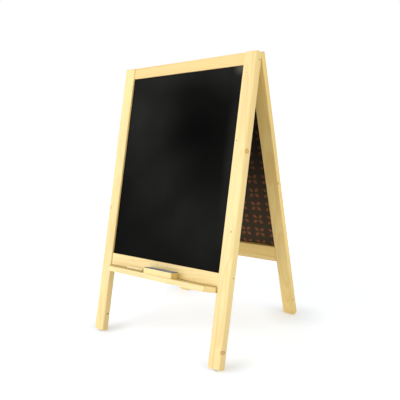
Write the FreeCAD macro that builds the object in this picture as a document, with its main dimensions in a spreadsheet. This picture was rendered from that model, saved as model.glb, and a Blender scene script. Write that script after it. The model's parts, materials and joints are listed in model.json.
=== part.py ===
import FreeCAD, Part
import Sketcher
import os

# A folding sandwich board.  Two identical pine frames, each holding a chalkboard
# and a chalk ledge, are joined by a pair of butt hinges near their top ends.
# Sizes are in millimetres and degrees; +X is to the right of a person who reads
# the front board, +Y goes to the rear and +Z is up.  The origin is on the floor
# under the middle of the board.

DRIVING_SIZES = [
    # the frames
    ("leg_length", 1050), ("frame_width", 600), ("lean", 15),
    ("stile_face", 50), ("stile_thickness", 28),
    ("top_rail_face", 42), ("bottom_rail_face", 47), ("rail_setback", 4),
    ("opening_height", 698), ("rail_play", 0.1), ("tongue_play", 0.1),
    ("outer_arris", 8), ("inner_arris", 3), ("end_arris", 1.5), ("rail_arris", 1.5),
    # the chalkboard and its printed backing sheet, held in one groove
    ("board_thickness", 3), ("backing_thickness", 1), ("board_setback", 8),
    ("groove_depth", 16), ("groove_play", 0.2), ("board_play", 1),
    # the chalk ledge
    ("ledge_thickness", 19), ("ledge_reach", 36), ("ledge_corner", 28),
    ("ledge_end_gap", 1), ("ledge_arris", 2),
    # the hinges: the axis lies axis_drop below the top ends of the stiles
    ("axis_drop", 12), ("face_gap", 0.3), ("meeting_gap", 0.15),
    ("hinge_length", 44), ("leaf_width", 14), ("leaf_thickness", 1.2), ("leaf_play", 0.1),
    ("knuckle_radius", 2.9), ("knuckle_count", 5), ("knuckle_gap", 0.3), ("knuckle_room", 0.5),
    ("pin_radius", 1.5), ("pin_play", 0.05), ("pin_head", 0.6),
    # fasteners
    ("drill_play", 0.05),
    ("hinge_screw_radius", 1.5), ("hinge_screw_head", 2.8), ("hinge_screw_clearance", 3.8),
    ("hinge_screw_spacing", 28), ("hinge_screw_inset", 5),
    ("dowel_radius", 4), ("dowel_bite", 28), ("dowel_room", 1),
    ("ledge_screw_radius", 2), ("ledge_screw_head", 3.6), ("ledge_screw_length", 38),
    ("ledge_screw_spacing", 190),
    ("board_pin_radius", 0.9), ("board_pin_length", 16), ("board_pin_sink", 0.6),
    ("board_pin_inset", 10), ("board_pin_first", 30), ("board_pin_spacing", 224),
    ("rail_pin_spacing", 140),
    # the glides under the legs: a flange and a dome, worn flat where they stand
    ("glide_radius", 10), ("glide_flange", 1), ("glide_dome", 12), ("glide_flat", 0.5),
    # the eraser and the chalk, which lie loose on the front ledge
    ("rest_gap", 0.3),
    ("eraser_length", 128), ("eraser_depth", 39), ("eraser_height", 20), ("felt_thickness", 2.5),
    ("eraser_arris", 1.5), ("eraser_place", 18),
    ("chalk_length", 78), ("chalk_radius", 5), ("chalk_tip", 4), ("chalk_end_round", 1),
    ("chalk_place", -118),
]

# Expressions shared by several pieces.  In a frame's own axes the hinge axis is
# the X axis, Z runs up the frame and the outer face looks towards -Y.
INNER_FACE = "-Sizes.face_gap"
OUTER_FACE = "(-Sizes.face_gap - Sizes.stile_thickness)"
MID_STILE = "(-Sizes.face_gap - Sizes.stile_thickness / 2)"
RAIL_OUTER = f"({OUTER_FACE} + Sizes.rail_setback)"
RAIL_INNER = "(-Sizes.face_gap - Sizes.rail_setback)"
BOARD_OUTER = f"({OUTER_FACE} + Sizes.board_setback)"
SHEET_OUTER = f"({BOARD_OUTER} + Sizes.board_thickness)"
GROOVE_OUTER = f"({BOARD_OUTER} - Sizes.groove_play)"
GROOVE_WIDTH = "(Sizes.board_thickness + Sizes.backing_thickness + 2 * Sizes.groove_play)"
HALF_OPENING = "(Sizes.frame_width / 2 - Sizes.stile_face)"
FRAME_TOP = "Sizes.axis_drop"
LEG_END = "(Sizes.axis_drop - Sizes.leg_length)"
OPENING_TOP = "(Sizes.axis_drop - Sizes.top_rail_face)"
OPENING_FOOT = f"({OPENING_TOP} - Sizes.opening_height)"
RAIL_FOOT = f"({OPENING_FOOT} - Sizes.bottom_rail_face)"
LEDGE_FOOT = f"({RAIL_FOOT} - Sizes.ledge_thickness)"
BOARD_GRIP = "(Sizes.groove_depth - Sizes.board_play)"
LEAF_END = "(-Sizes.leaf_width)"
KNUCKLE_LENGTH = (
    "((Sizes.hinge_length - (Sizes.knuckle_count - 1) * Sizes.knuckle_gap) / Sizes.knuckle_count)"
)
HINGE_MIDDLE = "(Sizes.frame_width / 2 - Sizes.stile_face / 2)"
# the screws of a hinge stop short of the groove and of the tongues in it
HINGE_SCREW_LENGTH = (
    "(Sizes.stile_thickness - Sizes.board_setback + Sizes.groove_play"
    f" - {GROOVE_WIDTH} - Sizes.hinge_screw_clearance)"
)
# the cut where the frames meet starts below the hinge axis and runs past the top ends
MEETING_LOW = "(-Sizes.axis_drop)"
MEETING_HIGH = "(2 * Sizes.axis_drop)"
MEETING_GAP = "(Sizes.meeting_gap / cos(Sizes.lean * 1 deg))"

# The dome of a glide is part of a ball, and the lowest point of the ball, less
# the worn flat, settles how high the hinge axis stands over the floor.
BALL_CENTRE = (
    f"({LEG_END} - Sizes.glide_flange"
    " + sqrt(Sizes.glide_dome ^ 2 - Sizes.glide_radius ^ 2))"
)
AXIS_HEIGHT = (
    f"(Sizes.glide_dome - Sizes.glide_flat + {MID_STILE} * sin(Sizes.lean * 1 deg)"
    f" - {BALL_CENTRE} * cos(Sizes.lean * 1 deg))"
)

doc = FreeCAD.newDocument("sandwich_board")
finished = []


def fill_sheet():
    """Write every driving size into the sheet, with its name as the alias."""
    sheet = doc.addObject("Spreadsheet::Sheet", "Sizes")
    for row, (name, value) in enumerate(DRIVING_SIZES, start=1):
        sheet.set(f"A{row}", name)
        sheet.set(f"B{row}", str(value))
        sheet.setAlias(f"B{row}", name)
    doc.recompute()
    return sheet


def bind(thing, expressions):
    """Bind properties of an object to expressions."""
    for name, expression in expressions.items():
        thing.setExpression(name, str(expression))


def place(thing, x, y, z, prefix="Placement"):
    """Bind the base point of a placement to three expressions."""
    bind(thing, {f"{prefix}.Base.x": x, f"{prefix}.Base.y": y, f"{prefix}.Base.z": z})


def stand(thing, frame):
    """Lean a piece built in a frame's own axes into its place on the object."""
    lean = "rotation(vector(1; 0; 0); -Sizes.lean * 1 deg)"
    turn = "rotation(vector(0; 0; 1); 180 deg) * " if frame == "rear" else ""
    thing.setExpression("Placement", f"placement(vector(0; 0; {AXIS_HEIGHT}); {turn}{lean})")
    finished.append(thing)


# ---------------------------------------------------------------- PartDesign helpers

def new_body(label):
    """Start a body whose label names its file."""
    body = doc.addObject("PartDesign::Body", label)
    body.Label = label
    return body


def attach(feature, body, plane, x="0", y="0", z="0"):
    """Attach a feature to an origin plane of its own body, shifted in that plane's axes."""
    support = [item for item in body.Origin.OriginFeatures if item.Role == plane][0]
    feature.AttachmentSupport = [(support, "")]
    feature.MapMode = "FlatFace"
    place(feature, x, y, z, "AttachmentOffset")


def polygon(body, name, plane, corners, offset="0"):
    """Sketch a closed polygon whose corners are pairs of expressions."""
    sketch = body.newObject("Sketcher::SketchObject", name)
    attach(sketch, body, plane, z=offset)
    count = len(corners)
    for i in range(count):
        # the lines start on a rough circle and the constraints carry them into place
        turn = FreeCAD.Rotation(FreeCAD.Vector(0, 0, 1), 360 * i / count)
        step = FreeCAD.Rotation(FreeCAD.Vector(0, 0, 1), 360 * (i + 1) / count)
        reach = FreeCAD.Vector(1, 0, 0)
        sketch.addGeometry(Part.LineSegment(turn.multVec(reach), step.multVec(reach)), False)
    for i in range(count):
        sketch.addConstraint(Sketcher.Constraint("Coincident", i, 2, (i + 1) % count, 1))
    for i, corner in enumerate(corners):
        for kind, expression in zip(("DistanceX", "DistanceY"), corner):
            index = sketch.addConstraint(Sketcher.Constraint(kind, -1, 1, i, 1, 1.0))
            sketch.setExpression(f"Constraints[{index}]", str(expression))
    return sketch


def rectangle(x_low, y_low, x_high, y_high):
    """The four corners of a rectangle, as expressions."""
    return [(x_low, y_low), (x_high, y_low), (x_high, y_high), (x_low, y_high)]


def pad(body, name, sketch, length, reverse=False):
    """Pad a sketch by a length given as an expression."""
    feature = body.newObject("PartDesign::Pad", name)
    feature.Profile = sketch
    feature.Reversed = reverse
    feature.setExpression("Length", str(length))
    doc.recompute()
    return feature


def must_cut(body, before):
    """Stop if the last feature of a body removed nothing."""
    doc.recompute()
    if not body.Shape.Volume < before:
        raise RuntimeError(f"{body.Label}: {body.Tip.Label} removed nothing")


def pocket(body, name, sketch, length, reverse=False):
    """Cut a sketch into the body by a length given as an expression."""
    before = body.Shape.Volume
    feature = body.newObject("PartDesign::Pocket", name)
    feature.Profile = sketch
    feature.Reversed = reverse
    feature.setExpression("Length", str(length))
    must_cut(body, before)


def drill(body, name, plane, x, y, z, radius, depth):
    """Drill a round hole along the normal of a plane, from a point in that plane's axes."""
    before = body.Shape.Volume
    feature = body.newObject("PartDesign::SubtractiveCylinder", name)
    attach(feature, body, plane, x, y, z)
    bind(feature, {"Radius": radius, "Height": depth})
    must_cut(body, before)


def countersink(body, name, plane, x, y, z, mouth, throat, depth):
    """Cut a cone along the normal of a plane, widest at its start."""
    before = body.Shape.Volume
    feature = body.newObject("PartDesign::SubtractiveCone", name)
    attach(feature, body, plane, x, y, z)
    bind(feature, {"Radius1": mouth, "Radius2": throat, "Height": depth})
    must_cut(body, before)


def long_edges(shape, axis):
    """The straight edges of a shape that run its whole length along one axis."""
    box = shape.BoundBox
    length = {"x": box.XLength, "y": box.YLength, "z": box.ZLength}[axis]
    found = []
    for number, edge in enumerate(shape.Edges, start=1):
        run = edge.BoundBox
        reach = {"x": run.XLength, "y": run.YLength, "z": run.ZLength}[axis]
        if abs(reach - length) < 1e-3 and run.DiagonalLength < length + 1e-3:
            found.append((f"Edge{number}", run.Center))
    return found


def fillet(body, name, edges, radius):
    """Round some edges of the body's last feature."""
    base = body.Tip
    feature = body.newObject("PartDesign::Fillet", name)
    feature.Base = (base, edges)
    feature.setExpression("Radius", str(radius))
    doc.recompute()


# ---------------------------------------------------------------- Part helpers

def cylinder(name, radius, height, x, y, z, along="z"):
    """A round bar from a point, along +X, +Y or +Z."""
    thing = doc.addObject("Part::Cylinder", name)
    bind(thing, {"Radius": radius, "Height": height})
    aim(thing, along)
    place(thing, x, y, z)
    return thing


def cone(name, start, end, height, x, y, z, along="z"):
    """A cone from a point, along +X, +Y or +Z, or against X."""
    thing = doc.addObject("Part::Cone", name)
    bind(thing, {"Radius1": start, "Radius2": end, "Height": height})
    aim(thing, along)
    place(thing, x, y, z)
    return thing


def aim(thing, along):
    """Turn a round primitive from +Z to the direction that it runs in."""
    directions = {
        "x": FreeCAD.Vector(1, 0, 0), "-x": FreeCAD.Vector(-1, 0, 0),
        "y": FreeCAD.Vector(0, 1, 0), "-y": FreeCAD.Vector(0, -1, 0),
        "z": FreeCAD.Vector(0, 0, 1),
    }
    thing.Placement.Rotation = FreeCAD.Rotation(FreeCAD.Vector(0, 0, 1), directions[along])


def block(name, x, y, z, length, width, height):
    """A rectangular block from its lowest corner."""
    thing = doc.addObject("Part::Box", name)
    bind(thing, {"Length": length, "Width": width, "Height": height})
    place(thing, x, y, z)
    return thing


def fuse(label, pieces):
    """Join solids into one."""
    thing = doc.addObject("Part::MultiFuse", label)
    thing.Shapes = pieces
    thing.Refine = True
    return thing


def subtract(label, base, tool):
    """Take one solid away from another."""
    thing = doc.addObject("Part::Cut", label)
    thing.Base = base
    thing.Tool = tool
    return thing


def group(label, pieces):
    """Keep identical solids together as one node."""
    thing = doc.addObject("Part::Compound", label)
    thing.Label = label
    thing.Links = pieces
    return thing


def screw(name, size, length, x, y, z, along):
    """A countersunk wood screw whose head starts at a point and whose shank runs along a line."""
    radius = f"Sizes.{size}_radius"
    head = f"Sizes.{size}_head"
    depth = f"({head} - {radius})"
    head_cone = cone(name + "_head", head, radius, depth, x, y, z, along)
    shank = cylinder(name + "_shank", radius, length, x, y, z, along)
    return fuse(name, [head_cone, shank])


# ---------------------------------------------------------------- where fasteners go

def dowel_heights():
    """Height of the dowels of each rail: the middle of what the board's groove leaves solid."""
    return {
        "top": f"({FRAME_TOP} - (Sizes.top_rail_face - Sizes.groove_depth) / 2)",
        "bottom": f"({RAIL_FOOT} + (Sizes.bottom_rail_face - Sizes.groove_depth) / 2)",
    }


def board_pin_heights():
    """Heights of the two pins in each stile."""
    first = f"({OPENING_TOP} - Sizes.board_pin_first)"
    return [first, f"({first} - Sizes.board_pin_spacing)"]


def hinge_screw_places(hand):
    """X of the two screws of a hinge leaf on the left (-1) or right (1) stile."""
    return [
        f"({hand} * {HINGE_MIDDLE} + {side} * Sizes.hinge_screw_spacing / 2)" for side in (-1, 1)
    ]


HINGE_SCREW_LEVEL = f"({LEAF_END} + Sizes.hinge_screw_inset)"
LEDGE_SCREW_PLACES = [f"({i} * Sizes.ledge_screw_spacing)" for i in (-1, 0, 1)]
RAIL_PIN_LEVEL = f"({OPENING_FOOT} - Sizes.board_pin_inset)"
RAIL_PIN_PLACES = [f"({i} * Sizes.rail_pin_spacing)" for i in (-1, 0, 1)]


# ---------------------------------------------------------------- the wooden frame

def make_stile(frame, side, hand):
    """A stile that runs down into a leg: square ends, rounded arrises, grooved for the board."""
    body = new_body(f"{frame}_{side}_stile")
    inner = f"({hand} * {HALF_OPENING})"
    outer = f"({hand} * Sizes.frame_width / 2)"
    low, high = (inner, outer) if hand > 0 else (outer, inner)
    section = polygon(body, "section", "XY_Plane",
                      rectangle(low, OUTER_FACE, high, INNER_FACE), FRAME_TOP)
    pad(body, "timber", section, "Sizes.leg_length", reverse=True)

    box = body.Shape.BoundBox
    outer_x = box.XMax if hand > 0 else box.XMin
    arrises = long_edges(body.Shape, "z")
    rounded = [n for n, c in arrises if abs(c.x - outer_x) < 1e-3 and abs(c.y - box.YMin) < 1e-3]
    fillet(body, "outer_arris", rounded, "Sizes.outer_arris")
    eased = [
        n for n, c in long_edges(body.Shape, "z")
        if (abs(c.x - box.XMin) < 1e-3 or abs(c.x - box.XMax) < 1e-3)
        and (abs(c.y - box.YMin) < 1e-3 or abs(c.y - box.YMax) < 1e-3)
    ]
    fillet(body, "inner_arrises", eased, "Sizes.inner_arris")
    ends = [
        f"Edge{n}" for n, edge in enumerate(body.Shape.Edges, start=1)
        if edge.BoundBox.ZLength < 1e-3
    ]
    fillet(body, "end_arrises", ends, "Sizes.end_arris")

    # above the hinge axis the inner face is cut back to the plane where the frames meet
    bevel = polygon(body, "meeting_bevel", "YZ_Plane", [
        (f"(-{MEETING_GAP} - {MEETING_LOW} * tan(Sizes.lean * 1 deg))", MEETING_LOW),
        ("Sizes.axis_drop", MEETING_LOW), ("Sizes.axis_drop", MEETING_HIGH),
        (f"(-{MEETING_GAP} - {MEETING_HIGH} * tan(Sizes.lean * 1 deg))", MEETING_HIGH),
    ], low)
    pocket(body, "meeting_cut", bevel, "Sizes.stile_face", reverse=True)

    # the groove holds the board and the tongues of both rails
    start = inner if hand > 0 else f"({inner} - Sizes.groove_depth)"
    end = f"({inner} + Sizes.groove_depth)" if hand > 0 else inner
    groove = polygon(body, "groove", "XY_Plane", rectangle(
        start, GROOVE_OUTER, end, f"({GROOVE_OUTER} + {GROOVE_WIDTH})"), FRAME_TOP)
    pocket(body, "board_groove", groove, f"({FRAME_TOP} - {RAIL_FOOT})")

    # the hinge lies in a shallow housing, its barrel in a round one
    middle = f"({hand} * {HINGE_MIDDLE})"
    housing_length = "(Sizes.hinge_length + 2 * Sizes.leaf_play)"
    housing_start = f"({middle} - {housing_length} / 2)"
    housing = polygon(body, "leaf_housing", "YZ_Plane", rectangle(
        "(-Sizes.face_gap - Sizes.leaf_thickness)", f"({LEAF_END} - Sizes.leaf_play)", "0", "0"),
        housing_start)
    pocket(body, "leaf_recess", housing, housing_length, reverse=True)
    drill(body, "barrel_recess", "YZ_Plane", "0", "0", f"({housing_start} - Sizes.pin_head)",
          "(Sizes.knuckle_radius + Sizes.knuckle_room)", f"({housing_length} + 2 * Sizes.pin_head)")

    for number, x in enumerate(hinge_screw_places(hand)):
        drill(body, f"hinge_pilot_{number}", "XZ_Plane", x, HINGE_SCREW_LEVEL, "0",
              "(Sizes.hinge_screw_radius + Sizes.drill_play)",
              f"(Sizes.face_gap + {HINGE_SCREW_LENGTH} + Sizes.drill_play)")
        countersink(body, f"hinge_sink_{number}", "XZ_Plane", x, HINGE_SCREW_LEVEL, "Sizes.face_gap",
                    "(Sizes.hinge_screw_head + Sizes.drill_play)",
                    "(Sizes.hinge_screw_radius + Sizes.drill_play)",
                    "(Sizes.hinge_screw_head - Sizes.hinge_screw_radius)")
    hole_depth = "(Sizes.dowel_bite + Sizes.dowel_room)"
    hole_start = inner if hand > 0 else f"({inner} - {hole_depth})"
    for rail, level in dowel_heights().items():
        drill(body, f"{rail}_dowel_hole", "YZ_Plane", MID_STILE, level, hole_start,
              "(Sizes.dowel_radius + Sizes.drill_play)", hole_depth)
    for number, level in enumerate(board_pin_heights()):
        drill(body, f"board_pin_hole_{number}", "XZ_Plane",
              f"({hand} * ({HALF_OPENING} + Sizes.board_pin_inset))", level,
              f"(-({OUTER_FACE}) - Sizes.board_pin_sink - Sizes.board_pin_length)",
              "(Sizes.board_pin_radius + Sizes.drill_play)",
              "(Sizes.board_pin_sink + Sizes.board_pin_length)")
    stand(body, frame)


def make_rail(frame, rail):
    """A rail between the stiles, with a tongue at each end and a groove for the board."""
    body = new_body(f"{frame}_{rail}_rail")
    top, foot = (FRAME_TOP, OPENING_TOP) if rail == "top" else (OPENING_FOOT, RAIL_FOOT)
    shoulder = f"({HALF_OPENING} - Sizes.rail_play)"
    section = polygon(body, "section", "YZ_Plane", rectangle(
        RAIL_OUTER, foot, RAIL_INNER, top), f"(-{shoulder})")
    pad(body, "timber", section, f"(2 * {shoulder})")
    fillet(body, "arrises", [n for n, _ in long_edges(body.Shape, "x")], "Sizes.rail_arris")

    solid_top = top if rail == "top" else f"({top} - Sizes.groove_depth)"
    solid_foot = f"({foot} + Sizes.groove_depth)" if rail == "top" else foot
    tongue_half = f"({HALF_OPENING} + Sizes.groove_depth - Sizes.tongue_play)"
    tongue = polygon(body, "tongue", "YZ_Plane", rectangle(
        f"({GROOVE_OUTER} + Sizes.tongue_play)", f"({solid_foot} + Sizes.tongue_play)",
        f"({GROOVE_OUTER} + {GROOVE_WIDTH} - Sizes.tongue_play)",
        f"({solid_top} - Sizes.tongue_play)"), f"(-{tongue_half})")
    pad(body, "tongues", tongue, f"(2 * {tongue_half})")

    groove_foot = foot if rail == "top" else f"({top} - Sizes.groove_depth)"
    groove = polygon(body, "groove", "YZ_Plane", rectangle(
        GROOVE_OUTER, groove_foot, f"({GROOVE_OUTER} + {GROOVE_WIDTH})",
        f"({groove_foot} + Sizes.groove_depth)"), f"(-{tongue_half})")
    pocket(body, "board_groove", groove, f"(2 * {tongue_half})", reverse=True)

    level = dowel_heights()[rail]
    depth = f"({tongue_half} - {HALF_OPENING} + Sizes.dowel_bite + Sizes.dowel_room)"
    for side, start in (("left", f"(-{tongue_half})"), ("right", f"({tongue_half} - {depth})")):
        drill(body, f"{side}_dowel_hole", "YZ_Plane", MID_STILE, level, start,
              "(Sizes.dowel_radius + Sizes.drill_play)", depth)
    if rail == "bottom":
        for number, x in enumerate(LEDGE_SCREW_PLACES):
            drill(body, f"ledge_screw_hole_{number}", "XY_Plane", x, MID_STILE, RAIL_FOOT,
                  "(Sizes.ledge_screw_radius + Sizes.drill_play)",
                  "(Sizes.ledge_screw_length - Sizes.ledge_thickness + Sizes.drill_play)")
        for number, x in enumerate(RAIL_PIN_PLACES):
            drill(body, f"board_pin_hole_{number}", "XZ_Plane", x, RAIL_PIN_LEVEL,
                  f"(-({RAIL_OUTER}) - Sizes.board_pin_sink - Sizes.board_pin_length)",
                  "(Sizes.board_pin_radius + Sizes.drill_play)",
                  "(Sizes.board_pin_sink + Sizes.board_pin_length)")
    stand(body, frame)


def make_panel(frame, kind, outer, thickness):
    """A thin sheet the size of the opening and its grooves, drilled for the pins."""
    body = new_body(f"{frame}_{kind}")
    half = f"({HALF_OPENING} + {BOARD_GRIP})"
    outline = polygon(body, "outline", "XZ_Plane", rectangle(
        f"(-{half})", f"({OPENING_FOOT} - {BOARD_GRIP})", half, f"({OPENING_TOP} + {BOARD_GRIP})"),
        f"(-({outer}))")
    pad(body, "sheet", outline, thickness, reverse=True)
    through = f"(-({outer}) - {thickness})"
    pin_x = f"({HALF_OPENING} + Sizes.board_pin_inset)"
    places = [(f"({hand} * {pin_x})", z) for hand in (-1, 1) for z in board_pin_heights()]
    places += [(x, RAIL_PIN_LEVEL) for x in RAIL_PIN_PLACES]
    for number, (x, z) in enumerate(places):
        drill(body, f"pin_hole_{number}", "XZ_Plane", x, z, through,
              "(Sizes.board_pin_radius + Sizes.drill_play)", thickness)
    stand(body, frame)


def make_ledge(frame):
    """The chalk ledge under the bottom rail, with its two front corners cut off."""
    body = new_body(f"{frame}_ledge")
    end = f"({HALF_OPENING} - Sizes.ledge_end_gap)"
    lip = f"({OUTER_FACE} - Sizes.ledge_reach)"
    cheek = f"({lip} + Sizes.ledge_corner)"
    shelf = polygon(body, "outline", "XY_Plane", [
        (f"(-{end})", RAIL_INNER), (f"(-{end})", cheek),
        (f"(-{end} + Sizes.ledge_corner)", lip), (f"({end} - Sizes.ledge_corner)", lip),
        (end, cheek), (end, RAIL_INNER),
    ], RAIL_FOOT)
    pad(body, "shelf", shelf, "Sizes.ledge_thickness", reverse=True)
    box = body.Shape.BoundBox
    front = [
        f"Edge{n}" for n, edge in enumerate(body.Shape.Edges, start=1)
        if edge.BoundBox.YMax < box.YMax - 1e-3 and edge.BoundBox.XLength > 1
    ]
    fillet(body, "front_arrises", front, "Sizes.ledge_arris")
    for number, x in enumerate(LEDGE_SCREW_PLACES):
        drill(body, f"screw_hole_{number}", "XY_Plane", x, MID_STILE, LEDGE_FOOT,
              "(Sizes.ledge_screw_radius + Sizes.drill_play)", "Sizes.ledge_thickness")
        countersink(body, f"screw_sink_{number}", "XY_Plane", x, MID_STILE, LEDGE_FOOT,
                    "(Sizes.ledge_screw_head + Sizes.drill_play)",
                    "(Sizes.ledge_screw_radius + Sizes.drill_play)",
                    "(Sizes.ledge_screw_head - Sizes.ledge_screw_radius)")
    stand(body, frame)


# ---------------------------------------------------------------- fasteners and feet

def make_fasteners(frame):
    """The dowels between stiles and rails, the ledge screws and the pins that hold the board."""
    dowels = []
    for hand in (-1, 1):
        start = f"({hand} * {HALF_OPENING} - Sizes.dowel_bite)"
        for rail, level in dowel_heights().items():
            dowels.append(cylinder(f"{frame}_{rail}_dowel_{hand + 1}", "Sizes.dowel_radius",
                                   "(2 * Sizes.dowel_bite)", start, MID_STILE, level, "x"))
    stand(group(f"{frame}_frame_dowels", dowels), frame)

    ledge = [
        screw(f"{frame}_ledge_screw_{n}", "ledge_screw", "Sizes.ledge_screw_length",
              x, MID_STILE, LEDGE_FOOT, "z")
        for n, x in enumerate(LEDGE_SCREW_PLACES)
    ]
    stand(group(f"{frame}_ledge_screws", ledge), frame)

    pins = []
    for hand in (-1, 1):
        x = f"({hand} * ({HALF_OPENING} + Sizes.board_pin_inset))"
        for number, level in enumerate(board_pin_heights()):
            name = f"{frame}_pin_{hand + 1}_{number}"
            pins.append(cylinder(name, "Sizes.board_pin_radius", "Sizes.board_pin_length",
                                 x, f"({OUTER_FACE} + Sizes.board_pin_sink)", level, "y"))
    for number, x in enumerate(RAIL_PIN_PLACES):
        pins.append(cylinder(f"{frame}_rail_pin_{number}", "Sizes.board_pin_radius",
                             "Sizes.board_pin_length", x,
                             f"({RAIL_OUTER} + Sizes.board_pin_sink)", RAIL_PIN_LEVEL, "y"))
    stand(group(f"{frame}_board_pins", pins), frame)


def make_glide(frame, side, hand):
    """A domed glide under a leg: a flange and part of a ball, worn flat level with the floor."""
    x = f"({hand} * {HINGE_MIDDLE})"
    name = f"{frame}_{side}_glide"
    flange = cylinder(name + "_flange", "Sizes.glide_radius", "Sizes.glide_flange",
                      x, MID_STILE, f"({LEG_END} - Sizes.glide_flange)")
    ball = doc.addObject("Part::Sphere", name + "_ball")
    ball.setExpression("Radius", "Sizes.glide_dome")
    aim(ball, "-x")
    place(ball, x, MID_STILE, BALL_CENTRE)
    # two blocks wider than the ball cut it: one above the flange, one at the floor
    reach = "(2 * Sizes.glide_dome)"
    above = block(name + "_above", f"({x} - {reach})", f"({MID_STILE} - {reach})",
                  f"({LEG_END} - Sizes.glide_flange)", f"(2 * {reach})", f"(2 * {reach})", reach)
    dome = subtract(name + "_dome", ball, above)
    whole = fuse(name + "_whole", [flange, dome])
    floor = doc.addObject("Part::Box", name + "_floor")
    bind(floor, {"Length": f"(2 * {reach})", "Width": f"(2 * {reach})", "Height": reach})
    ball_point = f"vector({x}; {MID_STILE}; {BALL_CENTRE})"
    level = "rotation(vector(1; 0; 0); Sizes.lean * 1 deg)"
    low_corner = f"vector(-{reach}; -{reach}; Sizes.glide_flat - Sizes.glide_dome - {reach})"
    floor.setExpression("Placement", f"placement({ball_point}; {level})"
                                     f" * placement({low_corner}; rotation(0; 0; 0))")
    glide = subtract(name, whole, floor)
    glide.Label = name
    stand(glide, frame)


# ---------------------------------------------------------------- the hinges

def make_leaf(frame, side, hand, own_knuckles):
    """A hinge leaf: a drilled plate and the knuckles that it curls into round the pin."""
    name = f"{side}_hinge_{frame}_leaf"
    start = f"({hand} * {HINGE_MIDDLE} - Sizes.hinge_length / 2)"
    plate_back = "(-Sizes.face_gap - Sizes.leaf_thickness)"
    clear = "(Sizes.knuckle_radius + Sizes.knuckle_gap)"
    plate = block(name + "_plate", start, plate_back, LEAF_END, "Sizes.hinge_length",
                  "Sizes.leaf_thickness", f"(-({LEAF_END}) - {clear})")
    parts = [plate]
    bores = []
    for number in own_knuckles:
        x = f"({start} + {number} * ({KNUCKLE_LENGTH} + Sizes.knuckle_gap))"
        parts.append(block(f"{name}_neck_{number}", x, plate_back, f"(-{clear})", KNUCKLE_LENGTH,
                           "Sizes.leaf_thickness", clear))
        parts.append(cylinder(f"{name}_knuckle_{number}", "Sizes.knuckle_radius", KNUCKLE_LENGTH,
                              x, "0", "0", "x"))
    whole = fuse(name + "_whole", parts)
    bores.append(cylinder(name + "_bore", "(Sizes.pin_radius + Sizes.pin_play)",
                          "Sizes.hinge_length", start, "0", "0", "x"))
    for number, x in enumerate(hinge_screw_places(hand)):
        bores.append(cone(f"{name}_hole_{number}", "(Sizes.hinge_screw_head + Sizes.drill_play)",
                          "(Sizes.hinge_screw_radius + Sizes.drill_play)",
                          "(Sizes.hinge_screw_head - Sizes.hinge_screw_radius)",
                          x, INNER_FACE, HINGE_SCREW_LEVEL, "-y"))
    leaf = subtract(name, whole, fuse(name + "_holes", bores))
    leaf.Label = name
    stand(leaf, frame)

    screws = [
        screw(f"{name}_screw_{n}", "hinge_screw", HINGE_SCREW_LENGTH,
              x, INNER_FACE, HINGE_SCREW_LEVEL, "-y")
        for n, x in enumerate(hinge_screw_places(hand))
    ]
    stand(group(f"{side}_hinge_{frame}_screws", screws), frame)


def make_hinge_pin(side, hand):
    """The pin of a hinge, with a small riveted head beyond each end of the barrel."""
    name = f"{side}_hinge_pin"
    start = f"({hand} * {HINGE_MIDDLE} - Sizes.hinge_length / 2)"
    shaft = cylinder(name + "_shaft", "Sizes.pin_radius", "Sizes.hinge_length", start, "0", "0", "x")
    heads = []
    ends = {"low": f"({start} - Sizes.pin_head)", "high": f"({start} + Sizes.hinge_length)"}
    for end, x in ends.items():
        heads.append(cylinder(f"{name}_{end}_head", "(Sizes.pin_radius + Sizes.pin_head)",
                              "Sizes.pin_head", x, "0", "0", "x"))
    pin = fuse(name, [shaft] + heads)
    pin.Label = name
    stand(pin, "front")


# ---------------------------------------------------------------- the loose pieces

def make_eraser():
    """The eraser: a pine block lying on the ledge with its felt side up."""
    floor = f"({RAIL_FOOT} + Sizes.rest_gap)"
    back = f"({RAIL_OUTER} - Sizes.rest_gap)"
    x_low = "(Sizes.eraser_place - Sizes.eraser_length / 2)"
    x_high = "(Sizes.eraser_place + Sizes.eraser_length / 2)"
    outline = rectangle(x_low, f"({back} - Sizes.eraser_depth)", x_high, back)
    for label, foot, height in (
        ("eraser_block", floor, "Sizes.eraser_height"),
        ("eraser_felt", f"({floor} + Sizes.eraser_height)", "Sizes.felt_thickness"),
    ):
        body = new_body(label)
        sketch = polygon(body, "outline", "XY_Plane", outline, foot)
        pad(body, "slab", sketch, height)
        upright = [n for n, _ in long_edges(body.Shape, "z")]
        fillet(body, "corners", upright, "Sizes.eraser_arris")
        stand(body, "front")


def make_chalk():
    """A stick of chalk, tapering slightly to one end, lying against the rail."""
    x_low = "(Sizes.chalk_place - Sizes.chalk_length / 2)"
    y = f"({RAIL_OUTER} - Sizes.rest_gap - Sizes.chalk_radius)"
    z = f"({RAIL_FOOT} + Sizes.rest_gap + Sizes.chalk_radius)"
    stick = doc.addObject("Part::Cone", "chalk_blank")
    bind(stick, {"Radius1": "Sizes.chalk_radius", "Radius2": "Sizes.chalk_tip",
                 "Height": "Sizes.chalk_length"})
    aim(stick, "x")
    place(stick, x_low, y, z)
    doc.recompute()
    chalk = doc.addObject("Part::Fillet", "chalk_stick")
    chalk.Label = "chalk_stick"
    chalk.Base = stick
    rims = [
        n for n, edge in enumerate(stick.Shape.Edges, start=1)
        if edge.BoundBox.XLength < 1e-3
    ]
    round_off = sizes.get("chalk_end_round")
    chalk.Edges = [(n, round_off, round_off) for n in rims]
    stand(chalk, "front")


# ---------------------------------------------------------------- assembly

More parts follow.
